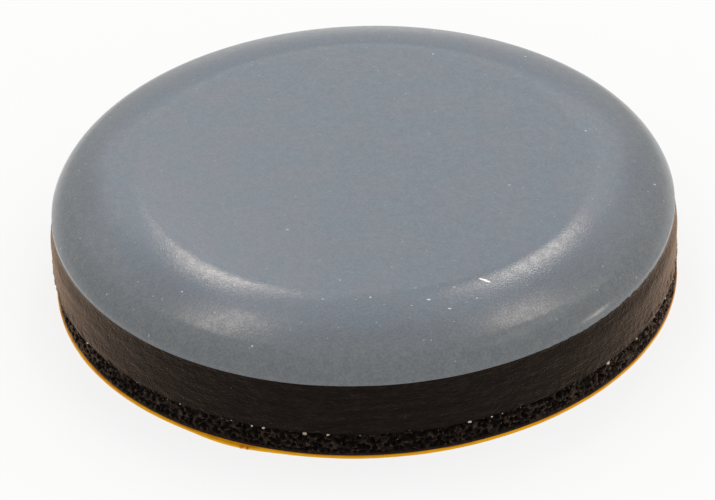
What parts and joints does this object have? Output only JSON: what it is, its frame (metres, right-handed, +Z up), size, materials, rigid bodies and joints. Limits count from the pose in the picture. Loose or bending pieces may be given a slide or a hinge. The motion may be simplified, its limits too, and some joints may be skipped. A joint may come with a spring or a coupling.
{
  "type": "furniture glide",
  "caption": "Round self-adhesive furniture glide: a low-friction domed cap with a flat sole on a rubber core, foam tape and release film.",
  "frame": {"origin": "centre of the release film's underside, which lies on the surface the glide stands on", "axes": "+Z up the axis of symmetry and out through the sole of the cap; X and Y lie in the film's underside"},
  "size_m": [0.0252, 0.0252, 0.005],
  "materials": {
    "cap_fluoropolymer": "satin moulded blue-grey fluoropolymer with fine handling marks",
    "core_rubber": "matt black rubber with a die-cut side",
    "tape_foam": "black open-cell foam, cut edge",
    "liner_film": "amber release film, smooth"
  },
  "bodies": {
    "root": {"glide_cap": "cap_fluoropolymer", "rubber_core": "core_rubber", "foam_tape": "tape_foam", "release_liner": "liner_film"}
  },
  "joints": []
}
